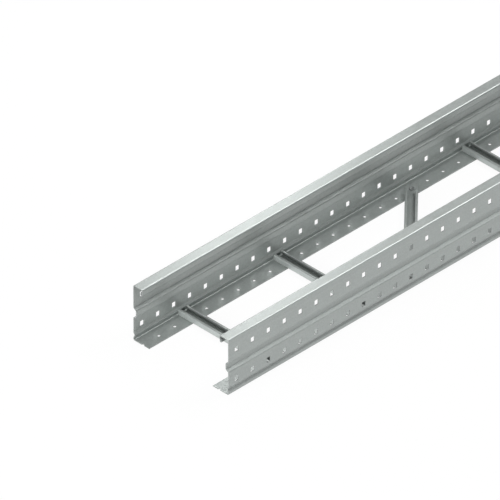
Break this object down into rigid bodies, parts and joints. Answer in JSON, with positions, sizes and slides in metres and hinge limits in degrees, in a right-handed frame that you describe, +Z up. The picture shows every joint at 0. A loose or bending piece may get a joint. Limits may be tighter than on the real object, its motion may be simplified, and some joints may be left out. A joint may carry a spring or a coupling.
{
  "type": "cable ladder section",
  "caption": "Galvanised wide-span cable ladder: two perforated, beaded side rails with folded lips, joined by slotted C rungs and diagonal braces.",
  "frame": {"origin": "middle of the ladder's length and width, on the underside of the rails", "axes": "+X along the ladder, away from the end that is nearest in the picture; +Y to the left rail; +Z up"},
  "size_m": [3, 0.3, 0.15],
  "materials": {
    "rail_steel": "galvanised, satin",
    "profile_steel": "galvanised, satin",
    "rivet_steel": "zinc plated"
  },
  "bodies": {
    "root": {"side_rail_left": "rail_steel", "side_rail_right": "rail_steel", "rung_1": "profile_steel", "rung_2": "profile_steel", "rung_3": "profile_steel", "rung_4": "profile_steel", "rung_5": "profile_steel", "rung_6": "profile_steel", "rung_7": "profile_steel", "rung_8": "profile_steel", "diagonal_brace_1": "profile_steel", "diagonal_brace_2": "profile_steel", "rung_1_rivet_left": "rivet_steel", "rung_1_rivet_right": "rivet_steel", "rung_2_rivet_left": "rivet_steel", "rung_2_rivet_right": "rivet_steel", "rung_3_rivet_left": "rivet_steel", "rung_3_rivet_right": "rivet_steel", "rung_4_rivet_left": "rivet_steel", "rung_4_rivet_right": "rivet_steel", "rung_5_rivet_left": "rivet_steel", "rung_5_rivet_right": "rivet_steel", "rung_6_rivet_left": "rivet_steel", "rung_6_rivet_right": "rivet_steel", "rung_7_rivet_left": "rivet_steel", "rung_7_rivet_right": "rivet_steel", "rung_8_rivet_left": "rivet_steel", "rung_8_rivet_right": "rivet_steel", "brace_1_rivet_left": "rivet_steel", "brace_1_rivet_right": "rivet_steel", "brace_2_rivet_left": "rivet_steel", "brace_2_rivet_right": "rivet_steel"}
  },
  "joints": []
}
